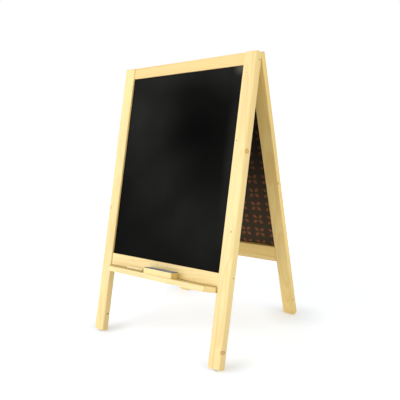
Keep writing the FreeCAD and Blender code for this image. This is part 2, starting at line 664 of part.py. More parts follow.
def make_frame(frame):
    """Everything that belongs to one frame.  Turning the rear frame swaps its sides."""
    left, right = ("left", "right") if frame == "front" else ("right", "left")
    knuckles = (0, 2, 4) if frame == "front" else (1, 3)
    for side, hand in ((left, -1), (right, 1)):
        make_stile(frame, side, hand)
        make_glide(frame, side, hand)
        make_leaf(frame, side, hand, knuckles)
    for rail in ("top", "bottom"):
        make_rail(frame, rail)
    make_panel(frame, "chalkboard", BOARD_OUTER, "Sizes.board_thickness")
    make_panel(frame, "backing_sheet", SHEET_OUTER, "Sizes.backing_thickness")
    make_ledge(frame)
    make_fasteners(frame)


def check_document():
    """Stop on any failed object and on any sub-part without a valid shape."""
    doc.recompute()
    for thing in doc.Objects:
        if "Invalid" in thing.State or "Error" in thing.State:
            raise RuntimeError(f"{thing.Label} failed: {thing.State}")
    for thing in finished:
        if thing.Shape.isNull() or not thing.Shape.isValid():
            raise RuntimeError(f"{thing.Label} has no valid shape")


def export():
    """Write one STEP file for each sub-part."""
    os.makedirs("parts", exist_ok=True)
    for thing in finished:
        thing.Shape.exportStep(f"parts/{thing.Label}.step")
        print(thing.Label, len(thing.Shape.Solids), "solids", round(thing.Shape.Volume), "mm3")


sizes = fill_sheet()
for each_frame in ("front", "rear"):
    make_frame(each_frame)
for each_side, each_hand in (("left", -1), ("right", 1)):
    make_hinge_pin(each_side, each_hand)
make_eraser()
make_chalk()
check_document()
export()
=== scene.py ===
import json
import math

import bpy
import numpy as np
from mathutils import Matrix, Vector


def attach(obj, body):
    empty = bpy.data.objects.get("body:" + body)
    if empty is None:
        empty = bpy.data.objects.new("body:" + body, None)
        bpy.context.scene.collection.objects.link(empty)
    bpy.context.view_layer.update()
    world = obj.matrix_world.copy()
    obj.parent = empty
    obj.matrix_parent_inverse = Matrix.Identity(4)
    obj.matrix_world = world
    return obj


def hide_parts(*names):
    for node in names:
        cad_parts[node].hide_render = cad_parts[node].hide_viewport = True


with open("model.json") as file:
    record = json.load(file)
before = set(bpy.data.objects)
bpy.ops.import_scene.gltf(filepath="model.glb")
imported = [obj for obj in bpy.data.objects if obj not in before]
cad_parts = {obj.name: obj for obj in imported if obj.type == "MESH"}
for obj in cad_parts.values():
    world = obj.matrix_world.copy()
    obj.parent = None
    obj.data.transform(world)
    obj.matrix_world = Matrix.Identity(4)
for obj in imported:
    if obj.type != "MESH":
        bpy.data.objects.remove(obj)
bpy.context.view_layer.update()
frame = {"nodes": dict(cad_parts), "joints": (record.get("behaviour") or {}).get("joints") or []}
NODES = frame["nodes"]
FOLD = next(joint for joint in frame["joints"] if joint["name"] == "fold")
AXIS_HEIGHT = FOLD["pos_m"][2]
LEAN = math.radians(FOLD["range_deg"][1]) / 2
# how far the hinge axis is below the frames' top ends
AXIS_DROP = 0.012


def frame_turn(which):
    """The rotation that leans a frame from upright into its place."""
    return Matrix.Rotation(-LEAN if which == "front" else LEAN, 3, "X")


def frame_box(node):
    """Lowest and highest corners of a CAD node in the front frame's own axes, origin on the hinge."""
    mesh = NODES[node].data
    points = np.empty(len(mesh.vertices) * 3)
    mesh.vertices.foreach_get("co", points)
    points = points.reshape(-1, 3) - (0, 0, AXIS_HEIGHT)
    points = points @ np.array(frame_turn("front"))
    return points.min(axis=0), points.max(axis=0)


LEDGE_TOP = frame_box("front_ledge")[1][2]
# outer faces of the front frame's stiles and bottom rail, across Y, and of its right stile, across X
STILE_FACE = frame_box("front_left_stile")[0][1]
RAIL_FACE = frame_box("front_bottom_rail")[0][1]
RIGHT_EDGE = frame_box("front_right_stile")[1][0]


# ------------------------------------------------------------------ node helpers

class Shop:
    """One node tree under construction: adds nodes and wires their sockets."""

    def __init__(self, tree):
        self.tree = tree

    def feed(self, socket, value):
        """Links a socket to another, or sets its value."""
        if isinstance(value, bpy.types.NodeSocket):
            self.tree.links.new(value, socket)
        else:
            socket.default_value = value

    def node(self, kind, inputs=None, **settings):
        """A node with its settings and inputs."""
        made = self.tree.nodes.new(kind)
        for name, value in settings.items():
            setattr(made, name, value)
        for name, value in (inputs or {}).items():
            self.feed(made.inputs[name], value)
        return made

    def math(self, operation, *values):
        """A Math node's result."""
        return self.node("ShaderNodeMath", dict(enumerate(values)), operation=operation).outputs[0]

    def vector(self, operation, *values, result=0):
        """A Vector Math node's result: output 0 is the vector and 1 the number."""
        made = self.node("ShaderNodeVectorMath", dict(enumerate(values)), operation=operation)
        return made.outputs[result]

    def smooth(self, value, low, high, start=0.0, end=1.0):
        """A smooth step of value from start to end between low and high."""
        inputs = {"Value": value, "From Min": low, "From Max": high, "To Min": start, "To Max": end}
        return self.node("ShaderNodeMapRange", inputs, interpolation_type="SMOOTHSTEP").outputs[0]

    def split(self, vector):
        """X, Y and Z of a vector."""
        return self.node("ShaderNodeSeparateXYZ", {0: vector}).outputs

    def join(self, x, y, z):
        """A vector from three numbers."""
        return self.node("ShaderNodeCombineXYZ", {0: x, 1: y, 2: z}).outputs[0]

    def noise(self, vector, scale, detail=2.0, rough=0.5, output="Fac"):
        """Noise around 0.5 at a scale per metre."""
        inputs = {"Vector": vector, "Scale": scale, "Detail": detail, "Roughness": rough}
        return self.node("ShaderNodeTexNoise", inputs).outputs[output]

    def mix(self, share, first, second, blend="MIX"):
        """A mix of two colours."""
        made = self.node("ShaderNodeMix", data_type="RGBA", blend_type=blend, clamp_factor=True)
        for index, value in ((0, share), (6, first), (7, second)):
            self.feed(made.inputs[index], value)
        return made.outputs[2]


def paint(*rgb):
    """A linear colour with full alpha."""
    return (*rgb, 1.0)


def new_material(name):
    """An empty material with a shader and its output: (material, shop, shader)."""
    material = bpy.data.materials.new(name)
    material.use_nodes = True
    material.node_tree.nodes.clear()
    shop = Shop(material.node_tree)
    shader = shop.node("ShaderNodeBsdfPrincipled")
    output = shop.node("ShaderNodeOutputMaterial")
    shop.feed(output.inputs["Surface"], shader.outputs[0])
    return material, shop, shader


def dress(node, material):
    """Gives a CAD node its material."""
    slots = NODES[node].data.materials
    slots.clear()
    slots.append(material)


def frame_axes(shop, which):
    """Object coordinates turned into a leaning frame's own axes: X across, Y through, Z up the frame."""
    place = shop.node("ShaderNodeTexCoord").outputs["Object"]
    upright = frame_turn(which).inverted()
    inputs = {"Vector": place, "Location": upright @ Vector((0, 0, -AXIS_HEIGHT)),
              "Rotation": upright.to_euler()}
    return shop.node("ShaderNodeMapping", inputs, vector_type="POINT").outputs[0]


# ------------------------------------------------------------------ pine

EARLY_WOOD = paint(0.770, 0.582, 0.245)
LATE_WOOD = paint(0.66, 0.395, 0.115)
WARM_STREAK = paint(0.70, 0.37, 0.09)
KNOT_HEART = paint(0.58, 0.30, 0.08)
KNOT_RIM = paint(0.22, 0.10, 0.03)
# painted shade in the joint where two timbers meet
CREVICE_SHADE = paint(0.20, 0.15, 0.055)
# the colour of the tiny dark pin knots
PIN_DOT_DARK = paint(0.10, 0.06, 0.025)
# knots narrower than this are dark all over, wider ones have a brown heart and a darker rim
PIN_KNOT_LIMIT = 0.0024


def pine(name, which, along="z", heart=(0.09, 0.05), drift=0.03, ring=0.0075, seed=0.0, knots=(),
         tone=(1, 1, 1), crevice=None):
    """Clear-varnished pine sawn from a log: rings about a heart line that drifts along the piece.

    A ring's number is the distance from the heart line over the ring width, bent by slow noise.
    A knot is an ellipsoid, (x, y, z, radius, length over width), that pushes the rings aside.
    A crevice, (axis, place, width), is a line where two timbers meet, darkened there as a painted shade.
    """
    material, shop, shader = new_material(name)
    x, y, z = shop.split(frame_axes(shop, which))
    if along == "x":
        x, z = z, x
        knots = [(kz, ky, kx, radius, stretch) for kx, ky, kz, radius, stretch in knots]
    grain = shop.join(x, y, z)
    moved = shop.vector("ADD", grain, (seed, seed * 0.7, seed * 3.1))

    def fleck(across, length, detail=1.0):
        """Noise drawn out along the grain."""
        return shop.noise(shop.vector("MULTIPLY", moved, (across, across, length)), 1.0, detail)

    slow = shop.noise(shop.vector("MULTIPLY", moved, (7.0, 7.0, 1.6)), 1.0, 2.0, output="Color")
    bend = shop.vector("MULTIPLY", shop.vector("SUBTRACT", slow, (0.5, 0.5, 0.5)), (0.07, 0.07, 0.0))
    bx, by, bz = shop.split(shop.vector("ADD", grain, bend))
    from_heart_x = shop.math("ADD", shop.math("MULTIPLY_ADD", bz, drift, bx), heart[0])
    from_heart_y = shop.math("ADD", by, heart[1])
    distance = shop.vector("LENGTH", shop.join(from_heart_x, from_heart_y, 0.0), result=1)
    rings = shop.math("DIVIDE", distance, ring)

    heartwood = 0.0
    rim = 0.0
    pins = 0.0
    for kx, ky, kz, radius, stretch in knots:
        offset = shop.vector("SUBTRACT", grain, (kx, ky, kz))
        scaled = shop.vector("MULTIPLY", offset, (1 / radius, 0.35 / radius, 1 / (radius * stretch)))
        away = shop.vector("LENGTH", scaled, result=1)
        wobble = shop.math("MULTIPLY_ADD", shop.noise(grain, 260.0, 2.0), 0.5, -0.25)
        away = shop.math("ADD", away, wobble)
        push = shop.math("DIVIDE", 1.6, shop.math("ADD", shop.math("MULTIPLY", away, away), 0.7))
        rings = shop.math("ADD", rings, push)
        core = shop.smooth(away, 1.15, 0.8)
        if radius < PIN_KNOT_LIMIT:
            pins = shop.math("MAXIMUM", pins, core)
            continue
        heartwood = shop.math("MAXIMUM", heartwood, core)
        edge = shop.math("ABSOLUTE", shop.math("SUBTRACT", away, 0.95))
        rim = shop.math("MAXIMUM", rim, shop.smooth(edge, 0.25, 0.0))

    part = shop.math("FRACT", rings)
    late = shop.math("MULTIPLY", shop.smooth(part, 0.25, 0.88), shop.smooth(part, 1.0, 0.93))
    late = shop.math("MULTIPLY", late, shop.smooth(fleck(30.0, 2.0), 0.25, 0.75, 0.35, 1.0))
    fibre = fleck(900.0, 22.0, 3.0)
    colour = shop.mix(shop.math("MULTIPLY", late, 0.42), EARLY_WOOD, LATE_WOOD)
    colour = shop.mix(shop.smooth(fleck(60.0, 1.3), 0.58, 0.82, 0.0, 0.55), colour, WARM_STREAK)
    shade = shop.smooth(fleck(14.0, 2.2), 0.2, 0.8, 0.93, 1.06)
    shade = shop.math("MULTIPLY", shade, shop.smooth(fibre, 0.2, 0.8, 0.96, 1.02))
    colour = shop.mix(1.0, colour, shop.vector("MULTIPLY", shop.join(shade, shade, shade), tone), "MULTIPLY")
    if knots:
        colour = shop.mix(shop.math("MULTIPLY", heartwood, 0.8), colour, KNOT_HEART)
        colour = shop.mix(shop.math("MULTIPLY", rim, 0.6), colour, KNOT_RIM)
        colour = shop.mix(shop.math("MULTIPLY", pins, 0.8), colour, PIN_DOT_DARK)
    # painted shade darkens the line where the rail and the ledge meet
    if crevice:
        axis, line, width = crevice
        place = shop.split(frame_axes(shop, which))["XYZ".index(axis)]
        off = shop.math("ABSOLUTE", shop.math("SUBTRACT", place, line))
        colour = shop.mix(shop.smooth(off, width, width / 2, 0.0, 0.85), colour, CREVICE_SHADE)
    shop.feed(shader.inputs["Base Color"], colour)
    shop.feed(shader.inputs["Roughness"], shop.smooth(fibre, 0.2, 0.8, 0.40, 0.52))
    shader.inputs["Specular IOR Level"].default_value = 0.5
    relief = shop.math("ADD", shop.math("MULTIPLY", fibre, 0.35), shop.math("MULTIPLY", late, 0.5))
    bump = shop.node("ShaderNodeBump", {"Strength": 0.35, "Distance": 0.00035, "Height": relief})
    shop.feed(shader.inputs["Normal"], bump.outputs[0])
    return material


def pin_knot(across, down, face=STILE_FACE, radius=0.0019):
    """A tiny dark knot or filled nail hole on a frame's outer face, down from the frame's top end."""
    return (across, face, AXIS_DROP - down, radius, 1.0)


def rail_pin_knot(across, down, radius=0.0015):
    """The same on the front bottom rail."""
    return pin_knot(across, down, RAIL_FACE, radius)


LEFT_STILE_KNOTS = [
    pin_knot(-0.277, 0.293), pin_knot(-0.261, 0.088),
    (-0.250, -0.012, -0.972, 0.0022, 1.2),
    (-0.288, STILE_FACE, -0.55, 0.003, 2.0),
]
RIGHT_STILE_KNOTS = [
    pin_knot(0.2666, 0.0704), pin_knot(0.2587, 0.2975),
    (0.279, STILE_FACE, -0.587, 0.0027, 1.3),
    (RIGHT_EDGE - 0.002, -0.027, -0.979, 0.0058, 1.0),
    (RIGHT_EDGE - 0.001, -0.026, -0.320, 0.0045, 1.6),
    (RIGHT_EDGE, -0.0137, -0.0147, 0.0016, 1.0),
    (RIGHT_EDGE, -0.014, -0.737, 0.0016, 1.0),
]
BOTTOM_RAIL_KNOTS = [
    rail_pin_knot(0.1497, 0.7749, 0.0019), rail_pin_knot(0.0305, 0.7544),
    rail_pin_knot(-0.0158, 0.7513), rail_pin_knot(-0.0445, 0.7542, 0.0012),
    rail_pin_knot(-0.133, 0.7557),
]
REAR_LEFT_STILE_KNOTS = [(-0.268, 0.028, -0.41, 0.004, 1.3)]
REAR_RIGHT_STILE_KNOTS = [
    (RIGHT_EDGE - 0.001, 0.003, -0.453, 0.0032, 1.4),
    (RIGHT_EDGE, 0.004, -0.966, 0.0026, 1.2),
]
# the rear frame's pine is tinted darker and warmer as a painted shade, as it stands behind the front frame
REAR_SHADE_TONE = (1.0, 0.97, 0.84)

# how each timber was cut from its log; the rails and ledges have their grain across the frame
# a tone multiplies a timber's colour: the raised blue of the front stiles, bottom rail and ledge paints the
# paler look of their lit faces, and the darker, warmer tones of the rear frame paint its shade
TIMBERS = {
    "front_left_stile": dict(seed=1.3, heart=(0.29, 0.075), tone=(0.99, 1.0, 1.04),
                             knots=LEFT_STILE_KNOTS),
    "front_right_stile": dict(seed=4.1, heart=(-0.262, 0.065), drift=0.015, tone=(1, 1.02, 1.1),
                              knots=RIGHT_STILE_KNOTS),
    "front_top_rail": dict(along="x", seed=7.7, heart=(0.055, 0.05), drift=0.04,
                           tone=(0.97, 0.93, 0.9)),
    "front_bottom_rail": dict(along="x", seed=2.9, heart=(0.79, 0.06), drift=-0.02,
                              tone=(1.02, 1.05, 1.10), crevice=("Z", LEDGE_TOP, 0.0022),
                              knots=BOTTOM_RAIL_KNOTS),
    "front_ledge": dict(along="x", seed=9.2, heart=(0.80, 0.09), drift=0.015,
                        tone=(1, 1.02, 1.12), crevice=("Y", RAIL_FACE, 0.0016)),
    "rear_left_stile": dict(seed=12.6, heart=(0.28, -0.07), drift=-0.02, tone=REAR_SHADE_TONE,
                            knots=REAR_LEFT_STILE_KNOTS),
    "rear_right_stile": dict(seed=15.4, heart=(-0.27, -0.075), drift=0.02, tone=REAR_SHADE_TONE,
                             knots=REAR_RIGHT_STILE_KNOTS),
    "rear_top_rail": dict(along="x", seed=18.3, heart=(0.06, -0.05), drift=0.03, tone=REAR_SHADE_TONE),
    "rear_bottom_rail": dict(along="x", seed=21.8, heart=(0.79, -0.06), drift=0.02,
                             tone=(0.93, 0.87, 0.66)),
    "rear_ledge": dict(along="x", seed=24.1, heart=(0.80, -0.08), drift=0.02, tone=REAR_SHADE_TONE),
}


def dress_pine():
    """Every timber is cut from its own piece of log, with its own knots."""
    for node, cut in TIMBERS.items():
        dress(node, pine(node + "_pine", node.split("_")[0], **cut))


# ------------------------------------------------------------------ board, print, metal, felt

# Pale patches on the board, partly rubbed chalk dust and partly a painted reflection, and how strongly: (x,
# height, half width, half height, tilt, strength).
# Heights are along the board and below the hinge axis; the strength is a share of full dust and painted
# reflection.
DUST_AND_REFLECTION_PATCHES = [
    (-0.200, -0.190, 0.200, 0.260, 0, 0.46), (-0.060, -0.440, 0.200, 0.090, 40, 0.26),
    (0.120, -0.550, 0.220, 0.120, 0, 0.26), (0.000, -0.030, 0.280, 0.060, 0, 0.30),
    (0.246, -0.330, 0.034, 0.340, 0, 0.40), (0.200, -0.060, 0.090, 0.080, 0, 0.30),
    (0.060, -0.680, 0.280, 0.120, 0, 0.10), (0.210, -0.690, 0.120, 0.110, 0, 0.12),
]
EVEN_DUST_AND_REFLECTION = 0.16
# a patch where the board is painted darkest, with less dust and less painted reflection, and a pale patch in
# the top right corner
DARK_PATCH = (0.090, -0.262, 0.150, 0.130, 0, 0.12)
PALE_CORNER_PATCH = (0.247, -0.034, 0.034, 0.028, 0, 0.95)
BOARD_BLACK = paint(0.0004, 0.0004, 0.0004)
DUST_AND_REFLECTION_GREY = paint(0.0208, 0.0207, 0.0192)
PALE_CORNER_GREY = paint(0.080, 0.077, 0.064)
# a patch fades out at this many times its half width
PATCH_FADE = 1.35


def patch(shop, place, x, height, half_width, half_height, tilt, strength):
    """A soft ellipse on the board: strength at its middle, falling smoothly to nothing."""
    turned = shop.node("ShaderNodeVectorRotate", {"Vector": place, "Center": (x, 0, height),
                                                  "Angle": math.radians(tilt)}, rotation_type="Y_AXIS")
    offset = shop.vector("SUBTRACT", turned.outputs[0], (x, 0, height))
    scaled = shop.vector("MULTIPLY", offset, (1 / half_width, 0, 1 / half_height))
    away = shop.vector("LENGTH", scaled, result=1)
    return shop.smooth(away, PATCH_FADE, 0.0, 0.0, strength)


def chalkboard_paint(which):
    """Matt black board paint, wiped with a dry eraser: faint pale patches, partly rubbed chalk dust and
    partly a painted reflection, and a soft sheen.
    """
    material, shop, shader = new_material(which + "_board_paint")
    place = frame_axes(shop, which)
    swathe = shop.noise(place, 9.0, 3.0, 0.55)
    grit = shop.noise(place, 2600.0, 2.0)
    # dust here is both rubbed chalk dust and a painted reflection of the studio
    dust = EVEN_DUST_AND_REFLECTION
    for spot in DUST_AND_REFLECTION_PATCHES:
        dust = shop.math("ADD", dust, patch(shop, place, *spot))
    dust = shop.math("SUBTRACT", dust, patch(shop, place, *DARK_PATCH))
    dust = shop.math("MULTIPLY", dust, shop.smooth(swathe, 0.25, 0.75, 0.85, 1.15))
    colour = shop.mix(dust, BOARD_BLACK, DUST_AND_REFLECTION_GREY)
    # a pale patch in the top right corner
    colour = shop.mix(patch(shop, place, *PALE_CORNER_PATCH), colour, PALE_CORNER_GREY)
    shop.feed(shader.inputs["Base Color"], colour)
    shop.feed(shader.inputs["Roughness"], shop.smooth(swathe, 0.3, 0.8, 0.50, 0.60))
    shader.inputs["Specular IOR Level"].default_value = 0.01
    bump = shop.node("ShaderNodeBump", {"Strength": 0.25, "Distance": 0.0001, "Height": grit})
    shop.feed(shader.inputs["Normal"], bump.outputs[0])
    return material


# cells of the printed lattice: pitch and shift across X and along Z
LATTICE_X = (0.062, 0.528)
LATTICE_Z = (0.057, 0.987)
# a leaf, in cells: its middle along the diagonal, half its length and half its width
LEAF_MIDDLE, LEAF_HALF_LENGTH, LEAF_HALF_WIDTH = 0.27, 0.185, 0.095
DIAGONAL = math.sqrt(0.5)


def from_cell_middle(shop, value, pitch, shift):
    """How far a coordinate is from the middle of its cell, as a share of the pitch."""
    cell = shop.math("FRACT", shop.math("DIVIDE", shop.math("ADD", value, shift), pitch))
    return shop.math("ABSOLUTE", shop.math("SUBTRACT", cell, 0.5))


def printed_leaves(shop, x, z):
    """Four leaves to a cell, one on each half diagonal, split by a thin vein.

    A leaf's half width at a share t of its half length is the full half width times 1 - t squared.
    """
    side_x = from_cell_middle(shop, x, *LATTICE_X)
    side_z = from_cell_middle(shop, z, *LATTICE_Z)
    along = shop.math("MULTIPLY", shop.math("ADD", side_x, side_z), DIAGONAL)
    across = shop.math("ABSOLUTE", shop.math("MULTIPLY", shop.math("SUBTRACT", side_x, side_z), DIAGONAL))
    share = shop.math("DIVIDE", shop.math("SUBTRACT", along, LEAF_MIDDLE), LEAF_HALF_LENGTH)
    bulge = shop.math("SUBTRACT", 1.0, shop.math("MULTIPLY", share, share))
    width = shop.math("MULTIPLY", bulge, LEAF_HALF_WIDTH)
    leaf = shop.smooth(shop.math("SUBTRACT", width, across), -0.008, 0.012)
    vein = shop.smooth(across, 0.006, 0.014)
    return shop.math("MULTIPLY", leaf, vein)


def printed_paper(which):
    """Brown decor paper with a lattice of rust-coloured leaves, painted darker towards the top as shade."""
    material, shop, shader = new_material(which + "_printed_paper")
    x, _, z = shop.split(frame_axes(shop, which))
    leaf = printed_leaves(shop, x, z)
    mottle = shop.noise(shop.join(x, 0.0, z), 420.0, 3.0, 0.6)
    ground = shop.mix(shop.smooth(mottle, 0.3, 0.7),
                      paint(0.036, 0.024, 0.012), paint(0.050, 0.034, 0.018))
    ink = shop.mix(shop.smooth(mottle, 0.25, 0.75),
                   paint(0.20, 0.060, 0.020), paint(0.29, 0.095, 0.034))
    printed = shop.mix(shop.math("MULTIPLY", leaf, 0.9), ground, ink)
    # painted shade: the paper is darkest high up, under the hinges, and lighter lower down
    painted_top_shade = shop.smooth(z, -0.30, -0.56, 0.30, 1.0)
    printed = shop.mix(1.0, printed, shop.join(painted_top_shade, painted_top_shade, painted_top_shade), "MULTIPLY")
    shop.feed(shader.inputs["Base Color"], printed)
    shader.inputs["Roughness"].default_value = 0.6
    shader.inputs["Specular IOR Level"].default_value = 0.1
    bump = shop.node("ShaderNodeBump", {"Strength": 0.2, "Distance": 0.0001, "Height": mottle})
    shop.feed(shader.inputs["Normal"], bump.outputs[0])
    return material


def metal(name, colour, worn, roughness, brush):
    """Brushed or plated metal: fine scratches along X and a slow change of tarnish."""
    material, shop, shader = new_material(name)
    place = shop.node("ShaderNodeTexCoord").outputs["Object"]
    scratch = shop.noise(shop.vector("MULTIPLY", place, (brush, 3000.0, 3000.0)), 1.0, 2.0)
    tarnish = shop.noise(place, 160.0, 3.0, 0.6)
    tarnished = shop.mix(shop.smooth(tarnish, 0.35, 0.7), paint(*colour), paint(*worn))
    shop.feed(shader.inputs["Base Color"], tarnished)
    shader.inputs["Metallic"].default_value = 1.0
    sheen = shop.smooth(scratch, 0.25, 0.75, roughness - 0.07, roughness + 0.1)
    shop.feed(shader.inputs["Roughness"], sheen)
    bump = shop.node("ShaderNodeBump", {"Strength": 0.2, "Distance": 0.00005, "Height": scratch})
    shop.feed(shader.inputs["Normal"], bump.outputs[0])
    return material


def moulded_nylon():
    """Grey moulded nylon, scuffed where it meets the floor."""
    material, shop, shader = new_material("glide_nylon")
    place = shop.node("ShaderNodeTexCoord").outputs["Object"]
    near_floor = shop.smooth(shop.split(place)[2], 0.004, 0.0)
    scuff = shop.math("MULTIPLY", near_floor, shop.smooth(shop.noise(place, 500.0, 3.0), 0.35, 0.7))
    colour = shop.mix(scuff, paint(0.40, 0.40, 0.39), paint(0.24, 0.24, 0.23))
    shop.feed(shader.inputs["Base Color"], colour)
    shop.feed(shader.inputs["Roughness"], shop.smooth(scuff, 0.0, 1.0, 0.38, 0.7))
    return material


def wool_felt():
    """Blue wool felt: matted fibres and chalk dust rubbed into the top."""
    material, shop, shader = new_material("eraser_wool_felt")
    place = shop.node("ShaderNodeTexCoord").outputs["Object"]
    fibres = shop.noise(place, 1500.0, 4.0, 0.7)
    patches = shop.noise(place, 60.0, 2.0)
    wool = shop.mix(shop.smooth(fibres, 0.3, 0.7), paint(0.026, 0.042, 0.085), paint(0.058, 0.088, 0.155))
    dusty = shop.mix(shop.smooth(patches, 0.5, 0.8, 0.0, 0.35), wool, paint(0.15, 0.18, 0.25))
    shop.feed(shader.inputs["Base Color"], dusty)
    shader.inputs["Roughness"].default_value = 0.95
    shader.inputs["Sheen Weight"].default_value = 0.35
    shader.inputs["Sheen Roughness"].default_value = 0.5
    bump = shop.node("ShaderNodeBump", {"Strength": 0.7, "Distance": 0.0006, "Height": fibres})
    shop.feed(shader.inputs["Normal"], bump.outputs[0])
    return material


def pressed_chalk():
    """Cream-white pressed chalk, powdery and slightly pitted."""
    material, shop, shader = new_material("pressed_chalk")
    place = shop.node("ShaderNodeTexCoord").outputs["Object"]
    grains = shop.noise(place, 1800.0, 4.0, 0.7)
    cream = shop.mix(shop.smooth(grains, 0.3, 0.7), paint(0.84, 0.72, 0.42), paint(0.92, 0.81, 0.54))
    shop.feed(shader.inputs["Base Color"], cream)
    shader.inputs["Roughness"].default_value = 0.9
    shader.inputs["Specular IOR Level"].default_value = 0.2
    bump = shop.node("ShaderNodeBump", {"Strength": 0.5, "Distance": 0.0003, "Height": grains})
    shop.feed(shader.inputs["Normal"], bump.outputs[0])
    return material


def dress_the_rest():
    """Materials of the boards, sheets, metalwork, glides and the loose pieces."""
    for which in ("front", "rear"):
        dress(which + "_chalkboard", chalkboard_paint(which))
        dress(which + "_backing_sheet", printed_paper(which))
    brass = metal("hinge_brass", (0.80, 0.58, 0.24), (0.62, 0.42, 0.16), 0.30, 60.0)
    screw_brass = metal("screw_brass", (0.82, 0.62, 0.28), (0.60, 0.42, 0.18), 0.28, 900.0)
    dark_steel = metal("dark_steel", (0.13, 0.10, 0.08), (0.07, 0.05, 0.04), 0.45, 900.0)
    zinc = metal("zinc_plate", (0.62, 0.62, 0.64), (0.45, 0.45, 0.46), 0.32, 900.0)
    nylon = moulded_nylon()
    dowel_wood = pine("dowel_beech", "front", along="x", seed=40.0, heart=(0.5, 0.1), ring=0.002,
                      tone=(0.9, 0.85, 0.8))
    for node in NODES:
        if node.endswith("_leaf") or node.endswith("_pin"):
            dress(node, brass)
        elif "_hinge_" in node and node.endswith("_screws"):
            dress(node, screw_brass)
        elif node.endswith("_ledge_screws"):
            dress(node, zinc)
        elif node.endswith("_frame_dowels"):
            dress(node, dowel_wood)
        elif node.endswith("_board_pins"):
            dress(node, dark_steel)
        elif node.endswith("_glide"):
            dress(node, nylon)
    eraser_wood = pine("eraser_pine", "front", along="x", seed=31.0, heart=(0.80, 0.09), ring=0.004)
    dress("eraser_block", eraser_wood)


# ------------------------------------------------------------------ chalk and felt

def closed_skin(name, rings, first_pole, last_pole, material, body, slot, node):
    """A closed skin through rings of points, shut by a fan of triangles round a pole at each end.

    rings has the shape (rings, points round a ring, 3), and runs so that faces point outwards.
    """
    count, around = rings.shape[:2]
    points = np.concatenate([rings.reshape(-1, 3), [first_pole, last_pole]])
    ring, step = np.meshgrid(np.arange(count - 1), np.arange(around), indexing="ij")
    after = (step + 1) % around
    quads = np.stack([ring * around + step, ring * around + after,
                      (ring + 1) * around + after, (ring + 1) * around + step], axis=-1).reshape(-1, 4)
    here = np.arange(around)
    there = (here + 1) % around
    last = (count - 1) * around
    first_fan = np.stack([there, here, np.full(around, count * around)], axis=-1)
    last_fan = np.stack([last + here, last + there, np.full(around, count * around + 1)], axis=-1)
    mesh = bpy.data.meshes.new(name)
    mesh.from_pydata(points.tolist(), [], quads.tolist() + first_fan.tolist() + last_fan.tolist())
    mesh.polygons.foreach_set("use_smooth", np.ones(len(mesh.polygons), dtype=bool))
    mesh.materials.append(material)
    piece = bpy.data.objects.new(name, mesh)
    bpy.context.scene.collection.objects.link(piece)
    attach(piece, body)
    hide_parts(node)


def lean_into_place(points):
    """Carries points from the front frame's own axes to where the leaning frame has them."""
    return points @ np.array(frame_turn("front")).T + (0, 0, AXIS_HEIGHT)


def ripple(shape, seed, passes):
    """Seeded noise from -1 to 1 on a closed ring grid, smoothed a few times."""
    noise = np.random.default_rng(seed).uniform(-1, 1, shape)
    for _ in range(passes):
        noise = (noise + np.roll(noise, 1, axis=1) + np.roll(noise, -1, axis=1)
                 + np.roll(noise, 1, axis=0) + np.roll(noise, -1, axis=0)) / 5
    return noise / np.abs(noise).max()


# the worn end's radius, the round of the blunt end and the depth of the dome, as shares of the
# thick end's radius
CHALK_TAPER, CHALK_BLUNT, CHALK_DOME = 0.8, 0.2, 0.65
CHALK_DENT = 0.00016
CHALK_AROUND = 48


def make_chalk_stick():
    """A tapered stick of chalk, blunt at its thick end and worn round at the thin one.

    A point is at (x(t), r(t) cos a, r(t) sin a): r falls evenly along the stick, follows a small
    quarter circle at the thick end and a flattened dome at the worn end, and small dents are
    taken off it.
    """
    low, high = frame_box("chalk_stick")
    middle = (low + high) / 2
    length = high[0] - low[0]
    thick = (high[2] - low[2]) / 2
    thin = CHALK_TAPER * thick
    blunt, dome = CHALK_BLUNT * thick, CHALK_DOME * thick
    quarter = np.linspace(0, math.pi / 2, 10)
    flat = np.linspace(0.15, 0.95, 5) * (thick - blunt)
    body_x = np.linspace(blunt, length - dome, 46)[1:-1]
    taper = thick + (thin - thick) * body_x / length
    start = np.stack([blunt * (1 - np.sin(quarter)), thick - blunt + blunt * np.cos(quarter)], 1)
    end = np.stack([length - dome + dome * np.sin(quarter), thin * np.cos(quarter) ** 0.7], 1)
    profile = np.concatenate([np.stack([np.zeros(len(flat)), flat], 1), start[::-1],
                              np.stack([body_x, taper], 1), end[:-1]])
    turn = np.linspace(0, 2 * math.pi, CHALK_AROUND, endpoint=False)
    dents = CHALK_DENT * (1 + ripple((len(profile), CHALK_AROUND), 5, 3))
    radius = profile[:, 1:] - dents
    rings = np.stack([np.broadcast_to(low[0] + profile[:, :1], radius.shape),
                      middle[1] + radius * np.cos(turn), middle[2] + radius * np.sin(turn)], axis=-1)
    poles = np.array([(low[0], middle[1], middle[2]), (high[0], middle[1], middle[2])])
    closed_skin("worn_chalk", lean_into_place(rings), *lean_into_place(poles), pressed_chalk(),
                "chalk", "chalk", "chalk_stick")


def rounded_outline(half, corner, count):
    """Points evenly spaced anticlockwise along a rectangle whose corners are quarter circles."""
    bend = np.linspace(0, math.pi / 2, 9)
    arc = np.stack([np.cos(bend), np.sin(bend)], axis=1) * corner
    path = []
    for cos, sin in ((1, 0), (0, 1), (-1, 0), (0, -1)):
        quarter_turn = np.array([(cos, sin), (-sin, cos)])
        centre = np.array([cos - sin, cos + sin]) * (half - corner)
        path.append(arc @ quarter_turn + centre)
    path = np.concatenate([*path, path[0][:1]])
    run = np.concatenate([[0], np.cumsum(np.linalg.norm(np.diff(path, axis=0), axis=1))])
    even = np.linspace(0, run[-1], count, endpoint=False)
    return np.stack([np.interp(even, run, path[:, 0]), np.interp(even, run, path[:, 1])], axis=1)


FELT_CORNER, FELT_RIM = 0.0016, 0.0008
# how far the brushed fibres stand up and sink at most
FELT_NAP = 0.0004
FELT_AROUND = 320


